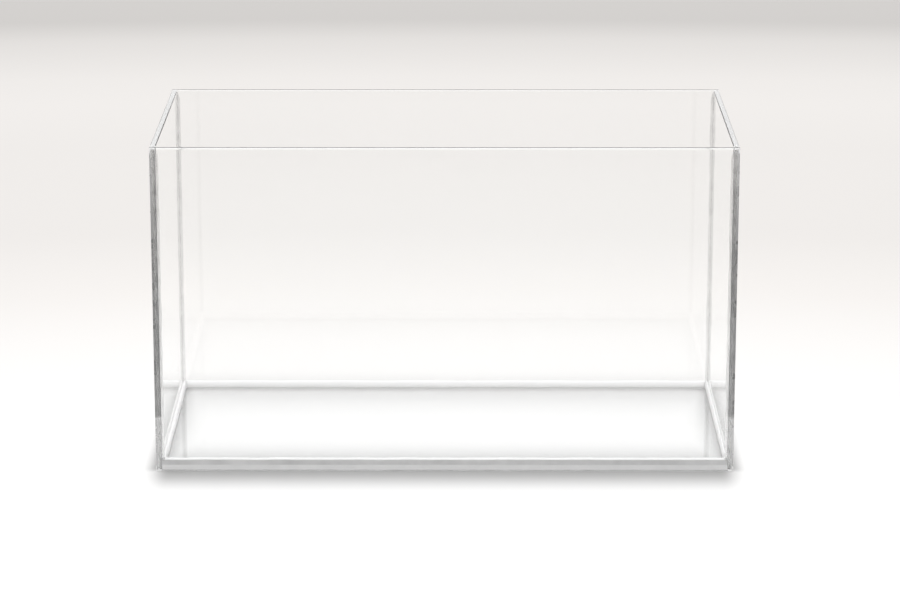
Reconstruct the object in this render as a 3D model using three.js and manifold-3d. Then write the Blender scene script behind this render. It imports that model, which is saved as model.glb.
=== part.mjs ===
// A rimless glass aquarium tank: five glass panes bonded and sealed with silicone.
// Millimetres, +Z up. The origin is at the middle of the footprint, on the surface the tank stands on.
// +X is the long way, to the right, and the front pane faces -Y.
import * as THREE from "three";
import Module from "manifold-3d";

// Driving dimensions.
const LENGTH = 600; // outside, along X
const DEPTH = 300; // outside, along Y
const HEIGHT = 344; // outside, along Z
const GLASS = 6; // thickness of every pane
const ARRIS = 1; // polished 45 degree arris on the outside edges
const JOINT = 1; // thickness of the structural silicone between two panes
const RECESS = 0.5; // how far a joint's silicone stands back from the rim and the underside
const BASE_BEAD_FOOT = 4; // width of the sealing bead on the floor
const BASE_BEAD_RISE = 7.6; // height of its crown above the floor
const BASE_BEAD_CROWN = 1.6; // how far its crown stands off the wall
const UPRIGHT_BEAD = 3; // width of the sealing bead on each wall of an upright corner
const UPRIGHT_BEAD_SETBACK = 2; // from the rim down to the top of an upright bead
const LIP = 0.5; // thickness of an upright bead at its edges
const HOLLOW = 0.18; // how far an upright bead's face is hollowed, as a share of its chord
const BEAD_STEPS = 8; // straight steps across a bead's free face
const GAP = 0.3; // between two beads that meet at an angle

// Derived positions of the faces that the pieces meet at.
const HALF_LENGTH = LENGTH / 2;
const HALF_DEPTH = DEPTH / 2;
const INNER_X = HALF_LENGTH - GLASS;
const INNER_Y = HALF_DEPTH - GLASS;

const wasm = await Module();
wasm.setup();

const LOW_IRON_GLASS = { color: 0xeef6f4, roughness: 0.03, metalness: 0, transparent: true, opacity: 0.3 };
const CLEAR_SILICONE = { color: 0xdfe3e1, roughness: 0.35, metalness: 0, transparent: true, opacity: 0.7 };
const MILKY_SILICONE = { color: 0xf4f5f3, roughness: 0.45, metalness: 0 };

/** The closed solid of a geometry, for joining and cutting. */
function toSolid(geometry) {
  const corners = geometry.index ? geometry.toNonIndexed() : geometry;
  const positions = corners.getAttribute("position").array;
  const mesh = new wasm.Mesh({
    numProp: 3,
    vertProperties: new Float32Array(positions),
    triVerts: Uint32Array.from({ length: positions.length / 3 }, (_, corner) => corner),
  });
  mesh.merge();
  return new wasm.Manifold(mesh);
}

/** The flat-shaded geometry of a solid. */
function toGeometry(solid) {
  const mesh = solid.getMesh();
  const geometry = new THREE.BufferGeometry();
  const positions = [];
  for (let corner = 0; corner < mesh.numVert; corner += 1) {
    const start = corner * mesh.numProp;
    positions.push(...mesh.vertProperties.slice(start, start + 3));
  }
  geometry.setAttribute("position", new THREE.Float32BufferAttribute(positions, 3));
  geometry.setIndex(Array.from(mesh.triVerts));
  const flat = geometry.toNonIndexed();
  flat.computeVertexNormals();
  return flat;
}

/** A prism on an outline given as [across, up] points, running from 0 to length along its own Z. */
function prism(outline, length) {
  const shape = new THREE.Shape(outline.map(([across, up]) => new THREE.Vector2(across, up)));
  return new THREE.ExtrudeGeometry(shape, { depth: length, bevelEnabled: false, steps: 1 });
}

/** A width by height rectangle centred on across, with a 45 degree cut at each corner that is asked for. */
function cutRectangle(width, height, cuts) {
  const [lowLeft, lowRight, highRight, highLeft] = cuts;
  const x = width / 2;
  const y = height / 2;
  const corners = [
    [[-x, -y + lowLeft], [-x + lowLeft, -y]],
    [[x - lowRight, -y], [x, -y + lowRight]],
    [[x, y - highRight], [x - highRight, y]],
    [[-x + highLeft, y], [-x, y - highLeft]],
  ];
  return corners.flatMap(([first, second], corner) => (cuts[corner] > 0 ? [first, second] : [first]));
}

/**
 * A wall pane lying along X and centred on it, with its outside face towards -Y and its foot at Z = 0.
 * endCuts is the arris on the outside and inside of its two upright edges.
 */
function wallPane(width, endCuts) {
  const [outside, inside] = endCuts;
  const section = cutRectangle(GLASS, HEIGHT, [ARRIS, 0, ARRIS, ARRIS]);
  const plan = cutRectangle(width, GLASS, [outside, outside, inside, inside]);
  // The section's across is Y and its up is Z, so the prism is stood on its side to run along X.
  const along = prism(section, width)
    .applyMatrix4(new THREE.Matrix4().makeBasis(
      new THREE.Vector3(0, 1, 0),
      new THREE.Vector3(0, 0, 1),
      new THREE.Vector3(1, 0, 0),
    ))
    .translate(-width / 2, 0, HEIGHT / 2);
  const up = prism(plan, HEIGHT);
  return toGeometry(toSolid(along).intersect(toSolid(up)));
}

/** A base bead's section in a corner at 0, 0: half an oval that stands on the floor, cut off by the wall. */
function baseBeadSection(grow) {
  const halfWidth = BASE_BEAD_FOOT - BASE_BEAD_CROWN + grow;
  const rise = BASE_BEAD_RISE + grow;
  const wallTurn = Math.acos(-BASE_BEAD_CROWN / halfWidth);
  const outline = [[0, 0]];
  for (let step = 0; step <= BEAD_STEPS; step += 1) {
    const turn = wallTurn * (step / BEAD_STEPS);
    const across = BASE_BEAD_CROWN + halfWidth * Math.cos(turn);
    outline.push([step === BEAD_STEPS ? 0 : across, rise * Math.sin(turn)]);
  }
  return outline;
}

/** An upright bead's section in a corner at 0, 0: a hollow fillet that reaches as far along both walls. */
function uprightBeadSection() {
  const outline = [[0, 0], [UPRIGHT_BEAD, 0]];
  for (let step = 0; step <= BEAD_STEPS; step += 1) {
    const share = step / BEAD_STEPS;
    const left = 1 - HOLLOW * 4 * share * (1 - share);
    const across = (1 - share) * UPRIGHT_BEAD + share * LIP;
    const up = (1 - share) * LIP + share * UPRIGHT_BEAD;
    outline.push([across * left, up * left]);
  }
  outline.push([0, UPRIGHT_BEAD]);
  return outline;
}

/** A base bead against the front wall, running along X, centred, its ends mitred to meet the next ones. */
function baseBead(length, grow = 0, mitred = true) {
  const solid = toSolid(
    prism(baseBeadSection(grow), length)
      .applyMatrix4(new THREE.Matrix4().makeBasis(
        new THREE.Vector3(0, 1, 0),
        new THREE.Vector3(0, 0, 1),
        new THREE.Vector3(1, 0, 0),
      ))
      .translate(-length / 2, 0, 0),
  );
  if (!mitred) {
    return solid;
  }
  const half = (length - GAP * Math.SQRT2) / 2;
  const reach = BASE_BEAD_FOOT + 1;
  const trapezoid = [[-half, 0], [half, 0], [half - reach, reach], [-half + reach, reach]];
  return solid.intersect(toSolid(prism(trapezoid, BASE_BEAD_RISE + 1)));
}

/** An upright bead in the front left corner, which is at 0, 0, stopped just above the base beads. */
function uprightBead() {
  const height = HEIGHT - GLASS - UPRIGHT_BEAD_SETBACK;
  const whole = toSolid(prism(uprightBeadSection(), height));
  const alongFront = baseBead(LENGTH, GAP, false).translate([LENGTH / 4, 0, 0]);
  const alongSide = alongFront.rotate([0, 0, -90]).mirror([0, 1, 0]);
  return toGeometry(whole.subtract(alongFront).subtract(alongSide));
}

/** Adds a named mesh to the tank, turned about Z by quarter turns. */
function addPiece(tank, name, geometry, finish, position, quarterTurns = 0) {
  const mesh = new THREE.Mesh(geometry, new THREE.MeshStandardMaterial(finish));
  mesh.name = name;
  mesh.position.set(...position);
  mesh.rotation.z = quarterTurns * (Math.PI / 2);
  tank.add(mesh);
}

function addPanes(tank) {
  const sideWidth = 2 * (INNER_Y - JOINT);
  addPiece(tank, "front_pane", wallPane(LENGTH, [ARRIS, 0]), LOW_IRON_GLASS, [0, -HALF_DEPTH + GLASS / 2, 0]);
  addPiece(tank, "back_pane", wallPane(LENGTH, [ARRIS, 0]), LOW_IRON_GLASS, [0, HALF_DEPTH - GLASS / 2, 0], 2);
  addPiece(tank, "left_pane", wallPane(sideWidth, [0, 0]), LOW_IRON_GLASS, [-HALF_LENGTH + GLASS / 2, 0, 0], -1);
  addPiece(tank, "right_pane", wallPane(sideWidth, [0, 0]), LOW_IRON_GLASS, [HALF_LENGTH - GLASS / 2, 0, 0], 1);
  const floor = new THREE.BoxGeometry(2 * (INNER_X - JOINT), 2 * (INNER_Y - JOINT), GLASS);
  addPiece(tank, "bottom_pane", floor, LOW_IRON_GLASS, [0, 0, GLASS / 2]);
}

function addUprightJoints(tank) {
  const height = HEIGHT - 2 * RECESS;
  const width = GLASS - RECESS;
  for (const [end, sideY] of [["front", -1], ["back", 1]]) {
    for (const [side, sideX] of [["left", -1], ["right", 1]]) {
      const position = [sideX * (INNER_X + width / 2), sideY * (INNER_Y - JOINT / 2), HEIGHT / 2];
      addPiece(tank, `joint_${end}_${side}`, new THREE.BoxGeometry(width, JOINT, height), CLEAR_SILICONE, position);
    }
  }
}

function addBaseJoints(tank) {
  const height = GLASS - RECESS;
  const middle = RECESS + height / 2;
  const alongX = () => new THREE.BoxGeometry(2 * INNER_X, JOINT, height);
  const alongY = () => new THREE.BoxGeometry(JOINT, 2 * (INNER_Y - JOINT), height);
  addPiece(tank, "joint_base_front", alongX(), CLEAR_SILICONE, [0, -INNER_Y + JOINT / 2, middle]);
  addPiece(tank, "joint_base_back", alongX(), CLEAR_SILICONE, [0, INNER_Y - JOINT / 2, middle]);
  addPiece(tank, "joint_base_left", alongY(), CLEAR_SILICONE, [-INNER_X + JOINT / 2, 0, middle]);
  addPiece(tank, "joint_base_right", alongY(), CLEAR_SILICONE, [INNER_X - JOINT / 2, 0, middle]);
}

function addBaseBeads(tank) {
  const long = () => toGeometry(baseBead(2 * INNER_X));
  const short = () => toGeometry(baseBead(2 * INNER_Y));
  addPiece(tank, "bead_base_front", long(), MILKY_SILICONE, [0, -INNER_Y, GLASS]);
  addPiece(tank, "bead_base_right", short(), MILKY_SILICONE, [INNER_X, 0, GLASS], 1);
  addPiece(tank, "bead_base_back", long(), MILKY_SILICONE, [0, INNER_Y, GLASS], 2);
  addPiece(tank, "bead_base_left", short(), MILKY_SILICONE, [-INNER_X, 0, GLASS], 3);
}

function addUprightBeads(tank) {
  const corners = [["front_left", -1, -1], ["front_right", 1, -1], ["back_right", 1, 1], ["back_left", -1, 1]];
  corners.forEach(([corner, sideX, sideY], quarterTurns) => {
    const position = [sideX * INNER_X, sideY * INNER_Y, GLASS];
    addPiece(tank, `bead_${corner}`, uprightBead(), CLEAR_SILICONE, position, quarterTurns);
  });
}

const tank = new THREE.Group();
tank.name = "glass_aquarium_tank";
addPanes(tank);
addUprightJoints(tank);
addBaseJoints(tank);
addUprightBeads(tank);
addBaseBeads(tank);

export default tank;
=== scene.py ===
"""The looks of a rimless glass aquarium tank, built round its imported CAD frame. Metres, +Z up."""

import math

import bmesh
import bpy
from mathutils import Matrix, Vector, noise


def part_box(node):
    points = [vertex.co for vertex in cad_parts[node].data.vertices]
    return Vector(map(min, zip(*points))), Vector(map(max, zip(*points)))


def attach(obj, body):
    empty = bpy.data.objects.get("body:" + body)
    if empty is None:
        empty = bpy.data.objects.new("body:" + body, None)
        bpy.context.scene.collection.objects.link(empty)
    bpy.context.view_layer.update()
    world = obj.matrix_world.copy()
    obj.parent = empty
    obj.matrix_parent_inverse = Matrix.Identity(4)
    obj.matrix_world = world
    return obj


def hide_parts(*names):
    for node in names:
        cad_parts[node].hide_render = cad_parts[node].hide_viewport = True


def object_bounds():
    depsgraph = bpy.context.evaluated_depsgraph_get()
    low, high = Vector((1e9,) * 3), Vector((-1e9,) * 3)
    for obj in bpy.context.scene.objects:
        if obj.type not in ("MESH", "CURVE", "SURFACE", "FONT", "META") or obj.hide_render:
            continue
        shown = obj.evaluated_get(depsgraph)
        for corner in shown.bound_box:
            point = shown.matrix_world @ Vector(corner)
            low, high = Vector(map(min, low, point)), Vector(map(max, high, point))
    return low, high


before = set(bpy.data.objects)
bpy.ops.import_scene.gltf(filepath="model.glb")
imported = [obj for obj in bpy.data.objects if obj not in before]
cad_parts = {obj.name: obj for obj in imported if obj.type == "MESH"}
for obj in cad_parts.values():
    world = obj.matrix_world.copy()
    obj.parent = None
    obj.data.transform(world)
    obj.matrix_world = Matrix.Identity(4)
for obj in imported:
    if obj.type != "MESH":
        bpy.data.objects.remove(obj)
CAD_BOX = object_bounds()

MM = 0.001

# The tank's own sizes, read from the frame.
OUTER = CAD_BOX[1]
FLOOR_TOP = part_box("bottom_pane")[1].z
INNER_X = -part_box("left_pane")[1].x
INNER_Y = -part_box("front_pane")[1].y
BEAD_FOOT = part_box("bead_base_front")[1].y + INNER_Y
BEAD_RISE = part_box("bead_base_front")[1].z - FLOOR_TOP
UPRIGHT_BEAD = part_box("bead_front_left")[1].x + INNER_X

# The detail that the CAD leaves out.
SKIN = 0.02 * MM  # how far silicone keys into the glass, so that no two faces lie in one plane
LONG_ARRIS = (2.2 * MM, 1.4 * MM)  # the front and back panes' arris: down the face, and across the edge
SHORT_ARRIS = (0.9 * MM, 0.8 * MM)  # the side panes' arris
BOTTOM_ARRIS = (0.4 * MM, 0.4 * MM)
FOOT_ARRIS = 0.5  # size of the arris at a wall's foot, as a share of the arris at its rim
FOOT_ARRIS_HEIGHT = 8 * MM  # height over which it grows to its full size
ARRIS_STEPS = 3
ARRIS_ROUND = 0.3  # 0 is a flat arris and 1 a quarter round one
ARRIS_DRIFT = 0.12  # how far the width of a hand-ground arris wanders, as a share of it
EDGE_STEP = 5 * MM  # spacing of points along a pane's outline
CORNER = 3.5 * MM  # how far the ground patch reaches from a pane's corner
JOINT_STEP = 4 * MM  # spacing of sections along a joint
UPRIGHT_JOINT_DRIFT = 0.5 * MM  # how far the free side of a joint falls short in places
BASE_JOINT_DRIFT = 0.4 * MM
POST_LIGHT_TOP = 58 * MM  # height below which the upright joints and arrises are painted lighter: painted light for the pale floor that the corner posts show there
PALE_FROM = 235 * MM  # height from which their painted shade grows paler towards the rim

# The base beads. Light spreads inside their milky silicone as far as the glow says.
BEAD_CROWN = 0.4  # how far a base bead's crown stands off the wall, as a share of its foot
BEAD_FULLNESS = {"front": 0.95, "right": 0.8, "back": 0.95, "left": 1.0}  # share of the foot's full width
BEAD_FOOT_DRIFT = 0.3 * MM  # how much narrower a run is in places
BEAD_RISE_DRIFT = 0.35 * MM  # and how much lower
BEAD_MITRE = 12 * MM  # length over which a run comes to the full section at its mitres
BEAD_STEP = 3 * MM
BEAD_GLOW = 10 * MM

# The upright beads.
UPRIGHT_BEAD_DRIFT = 0.7 * MM  # how much thinner one is in places
UPRIGHT_BEAD_LIP = 0.25 * MM  # thickness of its two lips
UPRIGHT_BEAD_HOLLOW = 0.2  # how far its face is tooled in, as a share of the way to the corner
UPRIGHT_BEAD_STEP = 4 * MM
UPRIGHT_BEAD_START = 0.55  # how high in the base bead an upright bead starts, as a share of the base bead
BEAD_TAPER = 9 * MM  # length over which an upright bead thins out below the rim
BEAD_TIP = 0.12  # size of its tip, as a share of the bead
TAPER_POWER = 0.7  # below 1, most of the thinning is close to the tip

GLASS_IOR = 1.52
SILICONE_IOR = 1.41

FLOOR_RADIUS = 12.0
FLOOR_DROP = 0.4 * MM  # below the tank's underside
# The floor's paleness is painted light: a pool of light painted round a spot in front of the tank, falling
# off with distance.
PALE_SPOT = (0.0, -0.45, 0.0)  # the floor is palest here, in front of the tank
FLOOR_SQUEEZE = (0.6, 1.0, 1.0)  # and falls off more slowly to the sides
FLOOR_FALL = (  # distance from that spot in metres, and how pale the floor is there
    (0.0, 0.87),
    (0.45, 0.86),
    (0.62, 0.80),
    (0.87, 0.745),
    (1.05, 0.70),
    (1.35, 0.652),
    (1.9, 0.66),
    (2.2, 0.682),
    (2.4, 0.675),
    (2.73, 0.615),
    (2.91, 0.525),
    (4.5, 0.66),
    (9.0, 0.80),
)
WARMTH = (1.03, 0.975)  # the far floor's red and blue beside its green
WARM_FROM = 1.05  # metres from the palest spot; nearer than this the floor is more neutral

# The soft shade painted on the floor along each wall: how dark it is, and how far it reaches inside and
# outside.
FRONT_SHADE = (0.56, 55 * MM, 46 * MM)
BACK_SHADE = (0.32, 65 * MM, 45 * MM)
SIDE_SHADE = (0.50, 18 * MM, 10 * MM)
SHADE_INSET = 14 * MM  # a wall's shade starts to fade this far before the wall's ends
CORNER_SHADE = 17 * MM  # and fades over about this length

# The room that the glass reflects.
ROOM_BACK = (1.0, 1.0, 1.0, 1.0)
ROOM_FRONT = (0.85, 0.85, 0.85, 1.0)
ROOM_FLAG = (0.36, 0.36, 0.36, 1.0)
ROOM_HORIZON = (0.60, 0.585, 0.57, 1.0)
OVERHEAD_SIZE = 5.0
OVERHEAD_AT = (0, 0.5, 3.2)
OVERHEAD_WATTS = 84

# Where the parts of that room blend into each other, as the X, Y or Z of a unit direction.
FRONT_TO_BACK = (-0.4, 0.4)  # Y
FLAG_SIDE = (0.4, 0.7)  # X, on either side
FLAG_TOP = (0.5, 0.7)  # Z
HORIZON_TOP = (0.06, 0.16)  # Z

# Camera, fitted to the tank's outline.
CAMERA_AT = (0.0113, -3.5582, 1.0976)
CAMERA_PITCH = math.radians(14.98)
CAMERA_YAW = math.radians(0.096)
LENS = 137.52
SENSOR = 36.0


# ---------------------------------------------------------------- materials


class Nodes:
    """A short way to write a node tree."""

    def __init__(self, tree):
        self.tree = tree
        tree.nodes.clear()

    def add(self, kind, **sockets):
        """A new node, whose sockets are named with _ for each space."""
        node = self.tree.nodes.new(kind)
        for name, value in sockets.items():
            self.feed(node.inputs[name.replace("_", " ")], value)
        return node

    def feed(self, socket, value):
        """Sets a socket to a value, or links it to another node's output."""
        if isinstance(value, bpy.types.NodeSocket):
            self.tree.links.new(value, socket)
        else:
            socket.default_value = value

    def place(self):
        """Object coordinates in metres."""
        return self.add("ShaderNodeTexCoord").outputs["Object"]

    def axes(self, vector):
        return self.add("ShaderNodeSeparateXYZ", Vector=vector).outputs

    def noise(self, scale, detail=3.0, roughness=0.5):
        node = self.add("ShaderNodeTexNoise", Scale=scale, Detail=detail, Roughness=roughness)
        self.feed(node.inputs["Vector"], self.place())
        return node.outputs["Fac"]

    def ramp(self, value, low, high, out_low=0.0, out_high=1.0):
        """Goes evenly from out_low to out_high while the value goes from low to high."""
        node = self.add("ShaderNodeMapRange", Value=value)
        node.inputs["From Min"].default_value = low
        node.inputs["From Max"].default_value = high
        node.inputs["To Min"].default_value = out_low
        node.inputs["To Max"].default_value = out_high
        return node.outputs["Result"]

    def math(self, operation, first, second=0.0):
        node = self.add("ShaderNodeMath")
        node.operation = operation
        self.feed(node.inputs[0], first)
        self.feed(node.inputs[1], second)
        return node.outputs[0]

    def vector_math(self, operation, first, second=(0.0, 0.0, 0.0)):
        node = self.add("ShaderNodeVectorMath")
        node.operation = operation
        self.feed(node.inputs[0], first)
        self.feed(node.inputs[1], second)
        return node.outputs["Value"] if operation == "LENGTH" else node.outputs["Vector"]

    def mix_colour(self, factor, first, second):
        """A Mix node has sockets for each type of data: A, B and the result are 6, 7 and 2 for colours."""
        node = self.add("ShaderNodeMix")
        node.data_type = "RGBA"
        self.feed(node.inputs["Factor"], factor)
        self.feed(node.inputs[6], first)
        self.feed(node.inputs[7], second)
        return node.outputs[2]

    def bump(self, height, strength, distance):
        node = self.add("ShaderNodeBump", Strength=strength, Distance=distance, Height=height)
        return node.outputs["Normal"]


def grey(level):
    return (level, level, level, 1.0)


def new_material(name):
    material = bpy.data.materials.new(name)
    material.use_nodes = True
    return material, Nodes(material.node_tree)


def finish_material(nodes, surface):
    output = nodes.add("ShaderNodeOutputMaterial")
    nodes.feed(output.inputs["Surface"], surface)


def clear_shader(nodes, tint, roughness, ior, transmission, normal=None, clearness=0.95, gloss=0.5):
    """A see-through surface that hardly casts a shadow.

    It lets lamps and diffused light straight through. Clearness is how much of that light gets past it.
    """
    shader = nodes.add("ShaderNodeBsdfPrincipled", Base_Color=tint, Roughness=roughness, IOR=ior)
    shader.inputs["Transmission Weight"].default_value = transmission
    shader.inputs["Specular IOR Level"].default_value = gloss
    if normal:
        nodes.feed(shader.inputs["Normal"], normal)
    path = nodes.add("ShaderNodeLightPath")
    unseen = nodes.math("MAXIMUM", path.outputs["Is Shadow Ray"], path.outputs["Is Diffuse Ray"])
    clear = nodes.add("ShaderNodeBsdfTransparent", Color=grey(clearness))
    mix = nodes.add("ShaderNodeMixShader")
    nodes.feed(mix.inputs[0], unseen)
    nodes.feed(mix.inputs[1], shader.outputs["BSDF"])
    nodes.feed(mix.inputs[2], clear.outputs["BSDF"])
    return mix.outputs["Shader"]


def glass_material():
    """Clear low-iron float glass: no tint to speak of, with the faint haze of wiped glass."""
    material, nodes = new_material("low_iron_glass")
    haze = nodes.noise(14.0, 6.0, 0.6)
    wipes = nodes.noise(3.0, 2.0, 0.5)
    roughness = nodes.ramp(nodes.math("MULTIPLY", haze, wipes), 0.2, 0.5, 0.0, 0.012)
    tint = nodes.mix_colour(wipes, (0.988, 0.991, 0.99, 1.0), (0.998, 0.999, 0.999, 1.0))
    finish_material(nodes, clear_shader(nodes, tint, roughness, GLASS_IOR, transmission=1.0, clearness=0.98))
    return material


def edge_material(name, roughnesses, tints, transmission, clearness, gloss=0.5):
    """A pane's ground edge, with the fine lines that the wheel leaves along it."""
    material, nodes = new_material(name)
    lines = nodes.noise(420.0, 2.0, 0.5)
    patches = nodes.noise(30.0, 3.0, 0.5)
    roughness = nodes.ramp(nodes.math("MULTIPLY", lines, patches), 0.1, 0.5, *roughnesses)
    tint = nodes.mix_colour(patches, *tints)
    normal = nodes.bump(lines, 0.05, 0.2 * MM)
    surface = clear_shader(nodes, tint, roughness, GLASS_IOR, transmission, normal, clearness, gloss)
    finish_material(nodes, surface)
    return material


def polished_edge_material():
    """An edge that is polished clear."""
    tints = ((0.975, 0.98, 0.978, 1.0), (0.995, 0.998, 0.997, 1.0))
    return edge_material("polished_edge", (0.02, 0.12), tints, transmission=1.0, clearness=0.93)


def dark_rim_material():
    """A front or back pane's rim: ground flat and only half polished, so it is less glossy. Its near-black
    tint is painted shade for the dark line along the rim.
    """
    tints = (grey(0.05), grey(0.12))
    return edge_material("painted_dark_rim", (0.05, 0.15), tints, transmission=1.0, clearness=0.9, gloss=0.1)


def satin_edge_material():
    """A side pane's rim: a satin finish that scatters some of the light."""
    tints = (grey(0.93), grey(0.98))
    return edge_material("satin_edge", (0.15, 0.3), tints, transmission=0.55, clearness=0.9)


def arris_material():
    """The arris along a pane's edge: polished like the edge, with a little more of the wheel's grain left."""
    material, nodes = new_material("polished_arris")
    grit = nodes.noise(900.0, 2.0, 0.6)
    patches = nodes.noise(60.0, 3.0, 0.5)
    roughness = nodes.ramp(nodes.math("MULTIPLY", grit, patches), 0.15, 0.45, 0.03, 0.16)
    tint = nodes.mix_colour(patches, (0.97, 0.975, 0.973, 1.0), (0.995, 0.998, 0.997, 1.0))
    normal = nodes.bump(grit, 0.06, 0.1 * MM)
    finish_material(nodes, clear_shader(nodes, tint, roughness, GLASS_IOR, 1.0, normal, clearness=0.93))
    return material


def corner_material():
    """The ground patch at a pane's corner: frosted white."""
    material, nodes = new_material("ground_corner")
    grit = nodes.noise(1500.0, 2.0, 0.6)
    roughness = nodes.ramp(grit, 0.3, 0.7, 0.3, 0.5)
    tint = nodes.mix_colour(grit, grey(0.93), grey(1.0))
    normal = nodes.bump(grit, 0.2, 0.1 * MM)
    finish_material(nodes, clear_shader(nodes, tint, roughness, GLASS_IOR, 0.25, normal, clearness=0.9))
    return material


def patchy_grey(nodes, patches, tones):
    """A grey that goes between two tones with the patches."""
    return nodes.mix_colour(nodes.ramp(patches, 0.3, 0.7), *(grey(tone) for tone in tones))


def post_light(nodes):
    """How much lighter the painted shade on the upright joints and arrises is: 1 up to the height where the
    corner posts show the pale floor, 0 above that, and 1 at the rim.
    """
    height = nodes.axes(nodes.place())[2]
    refilled = nodes.ramp(height, POST_LIGHT_TOP - 1 * MM, POST_LIGHT_TOP + 1 * MM, 1.0, 0.0)
    return nodes.math("MAXIMUM", refilled, nodes.ramp(height, PALE_FROM, OUTER.z))


def bonded_arris_material():
    """An upright arris, filled with squeezed-out silicone. Its grey is painted shade for the dark lines that
    the corner posts show, painted lighter at its two ends.
    """
    material, nodes = new_material("bonded_arris")
    patches = nodes.noise(70.0, 4.0, 0.6)
    roughness = nodes.ramp(patches, 0.3, 0.7, 0.2, 0.4)
    # A grey of painted shade, and a lighter tone painted at the posts' two ends.
    shaded_tint = nodes.mix_colour(nodes.ramp(patches, 0.35, 0.65), grey(0.28), grey(0.44))
    new = nodes.mix_colour(patches, grey(0.6), grey(0.75))
    tint = nodes.mix_colour(post_light(nodes), shaded_tint, new)
    normal = nodes.bump(patches, 0.1, 0.3 * MM)
    finish_material(nodes, clear_shader(nodes, tint, roughness, SILICONE_IOR, 0.55, normal, clearness=0.85))
    return material


def silicone_material(name, tones, lit_tones=None, transmission=0.97):
    """See-through silicone, hazier in patches where it wetted the glass less well.

    With a second pair of tones as well, its grey is painted shade, painted lighter towards its two ends.
    """
    material, nodes = new_material(name)
    patches = nodes.noise(55.0, 4.0, 0.6)
    roughness = nodes.ramp(patches, 0.4, 0.75, 0.02, 0.16)
    tint = patchy_grey(nodes, patches, tones)
    if lit_tones:
        tint = nodes.mix_colour(post_light(nodes), tint, patchy_grey(nodes, patches, lit_tones))
    normal = nodes.bump(patches, 0.06, 0.5 * MM)
    finish_material(nodes, clear_shader(nodes, tint, roughness, SILICONE_IOR, transmission, normal))
    return material


def milky_material(name, tones, glow):
    """Milky silicone, with faint clouds and the nozzle's fine drag marks. Glow is its translucency."""
    material, nodes = new_material(name)
    clouds = nodes.noise(40.0, 4.0, 0.6)
    drag = nodes.noise(260.0, 2.0, 0.5)
    tint = patchy_grey(nodes, clouds, tones)
    roughness = nodes.ramp(drag, 0.3, 0.7, 0.3, 0.45)
    shader = nodes.add("ShaderNodeBsdfPrincipled", Base_Color=tint, Roughness=roughness, IOR=SILICONE_IOR)
    shader.inputs["Subsurface Weight"].default_value = glow
    shader.inputs["Subsurface Radius"].default_value = (1.0, 1.0, 1.0)
    shader.inputs["Subsurface Scale"].default_value = BEAD_GLOW
    nodes.feed(shader.inputs["Normal"], nodes.bump(drag, 0.1, 0.3 * MM))
    finish_material(nodes, shader.outputs["BSDF"])
    return material


GLASS_FINISHES = (
    glass_material(),
    polished_edge_material(),
    arris_material(),
    corner_material(),
    bonded_arris_material(),
    dark_rim_material(),
    satin_edge_material(),
)
FACE, EDGE, ARRIS, GROUND, BONDED, DARK_RIM, SATIN = range(len(GLASS_FINISHES))
CLEAR = silicone_material("clear_silicone", (0.76, 0.9))
CLOUDY = silicone_material("cloudy_silicone", (0.94, 1.0), transmission=0.2)
THIN_JOINT = silicone_material("joint_silicone_thin", (0.80, 0.94))
# The front upright joints' grey is painted shade for the dark lines in the front corner posts.
JOINT = silicone_material("joint_silicone", (0.38, 0.6), lit_tones=(0.72, 0.9))
MILKY = milky_material("milky_silicone", (0.97, 1.0), glow=1.0)
# The base beads' faces on the floor and against the wall are painted darker: painted shade where little light
# reaches.
MILKY_SHADED = milky_material("milky_silicone_shaded", (0.60, 0.74), glow=0.0)


# ------------------------------------------------------------------- pieces


def add_piece(name, mesh, materials, node, turns=0, at=(0, 0, 0)):
    """Places a mesh made in its own frame, turned by quarter turns about Z, attaches it to the root body and
    hides its CAD node.
    """
    mesh.transform(Matrix.Translation(Vector(at)) @ Matrix.Rotation(turns * math.pi / 2, 4, "Z"))
    piece = bpy.data.objects.new(name, mesh)
    bpy.context.scene.collection.objects.link(piece)
    for material in materials:
        mesh.materials.append(material)
    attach(piece, "root")
    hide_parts(node)


def random_at(*place):
    """A smooth random number, mostly between -0.5 and 0.5, that is the same each time for a place."""
    return noise.noise(Vector(place))


def bridge(mesh, loops):
    """Closes a tube through loops of equally many points, and returns the faces of each stretch of it."""
    made = []
    count = len(loops[0])
    for near, far in zip(loops, loops[1:]):
        stretch = []
        for k in range(count):
            n = (k + 1) % count
            stretch.append(mesh.faces.new((near[k], near[n], far[n], far[k])))
        made.append(stretch)
    mesh.faces.new(loops[0][::-1])
    mesh.faces.new(loops[-1])
    return made


def to_mesh(name, mesh):
    """The finished mesh, with all its faces turned outwards."""
    bmesh.ops.recalc_face_normals(mesh, faces=mesh.faces)
    made = bpy.data.meshes.new(name)
    mesh.to_mesh(made)
    mesh.free()
    return made


def outline_points(width, height):
    """Evenly spaced points round a rectangle that is centred on 0, 0, with one at each corner."""
    corners = [(-1, -1), (1, -1), (1, 1), (-1, 1)]
    points = []
    for corner, start in enumerate(corners):
        end = corners[(corner + 1) % 4]
        side = width if start[1] == end[1] else height
        steps = max(4, round(side / EDGE_STEP))
        for step in range(steps):
            share = step / steps
            x = start[0] + (end[0] - start[0]) * share
            z = start[1] + (end[1] - start[1]) * share
            points.append((x * width / 2, z * height / 2))
    return points


def arris_section():
    """How far in from the edge and down from the face an arris lies, as shares of its size."""
    section = []
    for step in range(ARRIS_STEPS + 1):
        share = step / ARRIS_STEPS
        turn = math.pi / 2 * share
        inset = (1 - ARRIS_ROUND) * (1 - share) + ARRIS_ROUND * (1 - math.sin(turn))
        deep = (1 - ARRIS_ROUND) * share + ARRIS_ROUND * (1 - math.cos(turn))
        section.append((inset, deep))
    return section


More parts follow.
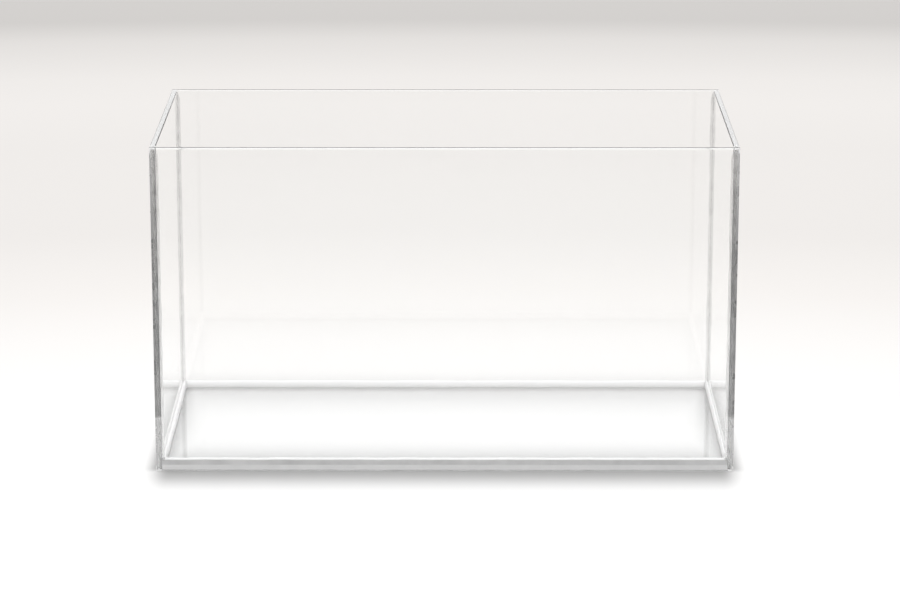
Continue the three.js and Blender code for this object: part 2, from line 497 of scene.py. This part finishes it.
def pane_mesh(name, width, height, thickness, seed, arris, foot_arris=1.0):
    """A pane standing in the XZ plane, centred on X and Y, with its foot at Z = 0.

    Both its faces have an arris all round, whose width wanders a little.
    """
    drop, depth = arris
    section = arris_section()
    rings = [(-1, inset, deep) for inset, deep in section]
    rings += [(1, inset, deep) for inset, deep in section[::-1]]
    points = outline_points(width, height)
    mesh = bmesh.new()
    loops = []
    for side, inset, deep in rings:
        loop = []
        for x, z in points:
            wander = 1 + ARRIS_DRIFT * random_at(x * 21, z * 21, seed * 3.7 + side)
            share = foot_arris + (1 - foot_arris) * min(1.0, (z + height / 2) / FOOT_ARRIS_HEIGHT)
            in_x = x * (1 - 2 * drop * share * wander * inset / width)
            in_z = z * (1 - 2 * drop * share * wander * inset / height)
            out_y = side * (thickness / 2 - depth * share * wander * deep)
            loop.append(mesh.verts.new((in_x, out_y, in_z + height / 2)))
        loops.append(loop)
    for ring, stretch in enumerate(bridge(mesh, loops)):
        on_edge = ring == ARRIS_STEPS
        for face in stretch:
            face.material_index = outline_finish(face.calc_center_median(), width, height, on_edge)
            face.smooth = not on_edge
    return to_mesh(name, mesh)


def outline_finish(middle, width, height, on_edge):
    """Which of the glass finishes a face on a pane's outline has."""
    to_end = width / 2 - abs(middle.x)
    to_rim = min(middle.z, height - middle.z)
    if max(to_end, to_rim) < CORNER and not on_edge:
        return GROUND
    if on_edge:
        return EDGE
    return BONDED if to_end < to_rim else ARRIS


def finish_rim(mesh, height, finish):
    """Gives the flat top of a wall's edge its own finish."""
    for polygon in mesh.polygons:
        if polygon.material_index == EDGE and polygon.center.z > height / 2 and abs(polygon.normal.z) > 0.9:
            polygon.material_index = finish


def add_walls():
    walls = (
        # The front and back panes' rims get the near-black tint, painted shade.
        ("front_pane", "glass_front", LONG_ARRIS, DARK_RIM),
        ("right_pane", "glass_right", SHORT_ARRIS, SATIN),
        ("back_pane", "glass_back", LONG_ARRIS, DARK_RIM),
        ("left_pane", "glass_left", SHORT_ARRIS, SATIN),
    )
    for turns, (node, name, arris, rim) in enumerate(walls):
        low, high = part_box(node)
        middle = (low + high) / 2
        size = high - low
        width, thickness = (size.x, size.y) if turns % 2 == 0 else (size.y, size.x)
        mesh = pane_mesh(name, width, size.z, thickness, turns, arris, FOOT_ARRIS)
        finish_rim(mesh, size.z, rim)
        add_piece(name, mesh, GLASS_FINISHES, node, turns, (middle.x, middle.y, low.z))


def add_bottom_pane():
    """The bottom pane is made standing up, like a wall, and then laid down."""
    low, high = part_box("bottom_pane")
    size = high - low
    mesh = pane_mesh("glass_bottom", size.x, size.y, size.z, 4, BOTTOM_ARRIS)
    for polygon in mesh.polygons:
        if polygon.material_index in (GROUND, BONDED):
            polygon.material_index = ARRIS
    mesh.transform(Matrix.Rotation(math.pi / 2, 4, "X"))
    at = (0, size.y / 2, size.z / 2)
    add_piece("glass_bottom", mesh, GLASS_FINISHES, "bottom_pane", 0, at)


def joint_mesh(name, length, width, depth, seed, drift, across_steps=8):
    """A strip of silicone along Z from 0. Its back is at X = 0, and its free side wanders and is hollow."""
    steps = round(length / JOINT_STEP)
    mesh = bmesh.new()
    loops = []
    for step in range(steps + 1):
        z = length * step / steps
        reach = width + drift * (random_at(z * 60, seed * 5.1, 0) * 0.5 - 0.5)
        ring = [(0, depth / 2), (0, -depth / 2)]
        for part in range(across_steps + 1):
            t = part / across_steps
            ring.append((reach - depth * t * (1 - t), -depth / 2 + depth * t))
        loops.append([mesh.verts.new((x, y, z)) for x, y in ring])
    for stretch in bridge(mesh, loops):
        for face in stretch[2:-1]:
            face.smooth = True
    return to_mesh(name, mesh)


def add_upright_joints():
    for seed, corner in enumerate(("front_left", "front_right", "back_left", "back_right")):
        node = f"joint_{corner}"
        low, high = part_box(node)
        size = high - low
        mesh = joint_mesh(f"silicone_{node}", size.z, size.x, size.y + 2 * SKIN, seed, UPRIGHT_JOINT_DRIFT)
        turns = 2 if corner.endswith("left") else 0
        at = (high.x if turns else low.x, (low.y + high.y) / 2, low.z)
        silicone = JOINT if corner.startswith("front") else THIN_JOINT
        add_piece(f"silicone_{node}", mesh, (silicone,), node, turns, at)


def add_base_joints():
    for turns, side in enumerate(("front", "right", "back", "left")):
        node = f"joint_base_{side}"
        low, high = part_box(node)
        size = high - low
        length = max(size.x, size.y)
        depth = min(size.x, size.y) + 2 * SKIN
        mesh = joint_mesh(f"silicone_{node}", length, size.z, depth, turns + 10, BASE_JOINT_DRIFT)
        # Laid on its side, its length runs along X and its free side faces down.
        mesh.transform(Matrix.Translation((-length / 2, 0, 0)) @ Matrix.Rotation(math.pi / 2, 4, "Y"))
        middle = (low + high) / 2
        at = (middle.x, middle.y, high.z - SKIN)
        add_piece(f"silicone_{node}", mesh, (CLOUDY,), node, turns % 2, at)


def base_bead_ring(foot, rise, steps=16):
    """Section of a base bead in a corner at 0, 0: half an oval on the floor, cut off by the wall."""
    crown = foot * BEAD_CROWN
    half_width = foot - crown
    wall_turn = math.acos(-crown / half_width)
    ring = [(0, 0)]
    for step in range(steps + 1):
        turn = wall_turn * step / steps
        across = 0 if step == steps else crown + half_width * math.cos(turn)
        ring.append((across, rise * math.sin(turn)))
    return ring


def base_bead_mesh(name, length, seed, fullness):
    """A base bead along X, centred, with the wall at Y = 0 and the floor at Z = 0, mitred at both ends."""
    steps = round(length / BEAD_STEP)
    mesh = bmesh.new()
    loops = []
    for step in range(steps + 1):
        share = step / steps * 2 - 1
        x = share * length / 2
        fade = min(1.0, (length / 2 - abs(x)) / BEAD_MITRE)
        foot = BEAD_FOOT * (1 - (1 - fullness) * fade)
        foot -= BEAD_FOOT_DRIFT * fade * (0.5 + random_at(x * 45, seed * 3.1, 0))
        rise = BEAD_RISE - BEAD_RISE_DRIFT * fade * (0.5 + random_at(x * 38, seed * 7.7, 5))
        loop = []
        for across, up in base_bead_ring(foot, rise):
            along = share * (length / 2 - across + SKIN)
            loop.append(mesh.verts.new((along, across, up)))
        loops.append(loop)
    for stretch in bridge(mesh, loops):
        # The first face lies on the floor and the last against the wall.
        for face in stretch[1:-1]:
            face.smooth = True
        # These two faces get the darker milky silicone, painted shade.
        stretch[0].material_index = 1
        stretch[-1].material_index = 1
    return to_mesh(name, mesh)


def add_base_beads():
    runs = (
        ("front", INNER_X, (0, -INNER_Y - SKIN)),
        ("right", INNER_Y, (INNER_X + SKIN, 0)),
        ("back", INNER_X, (0, INNER_Y + SKIN)),
        ("left", INNER_Y, (-INNER_X - SKIN, 0)),
    )
    for turns, (side, half_length, at) in enumerate(runs):
        node = f"bead_base_{side}"
        mesh = base_bead_mesh(f"silicone_{node}", 2 * half_length + 4 * SKIN, turns, BEAD_FULLNESS[side])
        at_floor = (*at, FLOOR_TOP - SKIN)
        add_piece(f"silicone_{node}", mesh, (MILKY, MILKY_SHADED), node, turns, at_floor)


def upright_bead_ring(foot, rise, lip, hollow, steps=8):
    """Section of a tooled fillet in a corner at 0, 0, with a thin lip on each pane."""
    ring = [(0, 0), (foot, 0)]
    for step in range(steps + 1):
        t = step / steps
        left = 1 - hollow * 4 * t * (1 - t)
        ring.append((((1 - t) * foot + t * lip) * left, ((1 - t) * lip + t * rise) * left))
    ring.append((0, rise))
    return ring


def upright_bead_mesh(name, start, end, seed):
    """An upright bead in a corner at 0, 0, reaching along +X and +Y, from Z = start to Z = end."""
    steps = round((end - start) / UPRIGHT_BEAD_STEP)
    mesh = bmesh.new()
    loops = []
    for step in range(steps + 1):
        z = start + (end - start) * step / steps
        taper = BEAD_TIP + (1 - BEAD_TIP) * min(1.0, (end - z) / BEAD_TAPER) ** TAPER_POWER
        foot = taper * (UPRIGHT_BEAD - UPRIGHT_BEAD_DRIFT * (0.5 + random_at(z * 40, seed * 2.9, 1)))
        rise = taper * (UPRIGHT_BEAD - UPRIGHT_BEAD_DRIFT * (0.5 + random_at(z * 40, seed * 6.3, 9)))
        ring = upright_bead_ring(foot, rise, UPRIGHT_BEAD_LIP * taper, UPRIGHT_BEAD_HOLLOW)
        loops.append([mesh.verts.new((x, y, z)) for x, y in ring])
    for stretch in bridge(mesh, loops):
        for face in stretch[2:-2]:
            face.smooth = True
    return to_mesh(name, mesh)


def add_upright_beads():
    corners = (("front_left", -1, -1), ("front_right", 1, -1), ("back_right", 1, 1), ("back_left", -1, 1))
    start = BEAD_RISE * UPRIGHT_BEAD_START
    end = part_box("bead_front_left")[1].z - FLOOR_TOP
    for turns, (corner, side_x, side_y) in enumerate(corners):
        node = f"bead_{corner}"
        mesh = upright_bead_mesh(f"silicone_{node}", start, end, turns)
        at = (side_x * (INNER_X + SKIN), side_y * (INNER_Y + SKIN), FLOOR_TOP)
        add_piece(f"silicone_{node}", mesh, (CLEAR,), node, turns, at)


# -------------------------------------------------------------------- stage


def fade_out(nodes, distance, width):
    """1 where the distance is 0 or less, and a bell curve beyond it."""
    share = nodes.math("DIVIDE", nodes.math("MAXIMUM", distance, 0.0), width)
    return nodes.math("EXPONENT", nodes.math("MULTIPLY", nodes.math("POWER", share, 2.0), -1.0))


def wall_shade(nodes, outward, along, inner_face, outer_face, half_length, shade):
    """How much of the floor's colour the painted shade beside a wall leaves, where 1 is all of it."""
    darkest, inner_reach, outer_reach = shade
    inside = nodes.math("SUBTRACT", inner_face, outward)
    outside = nodes.math("SUBTRACT", outward, outer_face)
    past_full = nodes.math("SUBTRACT", nodes.math("ABSOLUTE", along), half_length - SHADE_INSET)
    fall = nodes.math("MULTIPLY", fade_out(nodes, inside, inner_reach), fade_out(nodes, outside, outer_reach))
    fall = nodes.math("MULTIPLY", fall, fade_out(nodes, past_full, CORNER_SHADE))
    return nodes.math("SUBTRACT", 1.0, nodes.math("MULTIPLY", fall, darkest))


def light_at_foot(nodes):
    """How much of the floor's colour the painted soft shade round the tank's foot leaves."""
    x, y, _ = nodes.axes(nodes.place())
    forward = nodes.math("MULTIPLY", y, -1.0)
    sideways = nodes.math("ABSOLUTE", x)
    front = wall_shade(nodes, forward, x, INNER_Y, OUTER.y, OUTER.x, FRONT_SHADE)
    back = wall_shade(nodes, y, x, INNER_Y, OUTER.y, OUTER.x, BACK_SHADE)
    side = wall_shade(nodes, sideways, y, INNER_X, OUTER.x, OUTER.y, SIDE_SHADE)
    return nodes.math("MINIMUM", side, nodes.math("MULTIPLY", front, back))


def floor_paleness(nodes):
    """The floor's colour, which falls off away from its palest spot: a painted pool of light."""
    offset = nodes.vector_math("SUBTRACT", nodes.place(), PALE_SPOT)
    distance = nodes.vector_math("LENGTH", nodes.vector_math("MULTIPLY", offset, FLOOR_SQUEEZE))
    furthest = FLOOR_FALL[-1][0]
    fall = nodes.add("ShaderNodeValToRGB", Fac=nodes.math("DIVIDE", distance, furthest))
    stops = fall.color_ramp.elements
    for _ in FLOOR_FALL[2:]:
        stops.new(0.5)
    for stop, (far, level) in zip(stops, FLOOR_FALL):
        warm = min(1.0, far / WARM_FROM) ** 2
        red, blue = (1 + warm * (share - 1) for share in WARMTH)
        stop.position = far / furthest
        stop.color = (level * red, level, level * blue, 1.0)
    return fall.outputs["Color"]


def add_floor():
    """A pale floor that runs out to the horizon, with a painted pool of light and the painted shade of the
    tank's foot on it.
    """
    mesh = bmesh.new()
    bmesh.ops.create_circle(mesh, cap_ends=True, radius=FLOOR_RADIUS, segments=96)
    made = to_mesh("studio_floor", mesh)
    floor = bpy.data.objects.new("studio_floor", made)
    floor.location = (0, 0, -FLOOR_DROP)
    bpy.context.scene.collection.objects.link(floor)
    material, nodes = new_material("studio_floor")
    # The floor's colour carries the painted shade of the tank's foot.
    colour = nodes.mix_colour(light_at_foot(nodes), grey(0.0), floor_paleness(nodes))
    shader = nodes.add("ShaderNodeBsdfDiffuse", Color=colour)
    finish_material(nodes, shader.outputs["BSDF"])
    made.materials.append(material)


def add_lamp():
    """One broad soft lamp overhead."""
    light = bpy.data.lights.new("overhead", "AREA")
    light.size = OVERHEAD_SIZE
    light.energy = OVERHEAD_WATTS
    lamp = bpy.data.objects.new("overhead", light)
    lamp.location = OVERHEAD_AT
    bpy.context.scene.collection.objects.link(lamp)


def add_world():
    """A white room, dimmer behind the camera, with a dark flag on each side that draws the glass's edges.

    Close to the horizon it is as pale all round as the far floor that it meets.
    """
    world = bpy.data.worlds.new("studio")
    world.use_nodes = True
    nodes = Nodes(world.node_tree)
    x, y, z = nodes.axes(nodes.add("ShaderNodeTexCoord").outputs["Generated"])
    wall = nodes.mix_colour(nodes.ramp(y, *FRONT_TO_BACK), ROOM_FRONT, ROOM_BACK)
    flagged = nodes.ramp(nodes.math("ABSOLUTE", x), *FLAG_SIDE)
    wall = nodes.mix_colour(flagged, wall, ROOM_FLAG)
    wall = nodes.mix_colour(nodes.ramp(z, *FLAG_TOP), wall, ROOM_BACK)
    room = nodes.mix_colour(nodes.ramp(z, *HORIZON_TOP), ROOM_HORIZON, wall)
    background = nodes.add("ShaderNodeBackground", Color=room, Strength=1.0)
    output = nodes.add("ShaderNodeOutputWorld")
    nodes.feed(output.inputs["Surface"], background.outputs["Background"])
    bpy.context.scene.world = world


def add_camera():
    camera = bpy.data.cameras.new("camera")
    camera.sensor_width = SENSOR
    camera.lens = LENS
    camera.clip_start = 0.05
    camera.clip_end = 60
    seat = bpy.data.objects.new("camera", camera)
    seat.location = CAMERA_AT
    seat.rotation_euler = (math.pi / 2 - CAMERA_PITCH, 0, CAMERA_YAW)
    bpy.context.scene.collection.objects.link(seat)
    bpy.context.scene.camera = seat


def set_light_paths():
    """Rays run a long way inside a pane's edge before they come out, so they get many bounces."""
    scene = bpy.context.scene
    scene.view_settings.view_transform = "Standard"
    scene.cycles.max_bounces = 48
    scene.cycles.transmission_bounces = 48
    scene.cycles.glossy_bounces = 12
    scene.cycles.diffuse_bounces = 4
    scene.cycles.transparent_max_bounces = 32


add_camera()
add_world()
add_lamp()
add_floor()
add_walls()
add_bottom_pane()
add_upright_joints()
add_base_joints()
add_upright_beads()
add_base_beads()
set_light_paths()
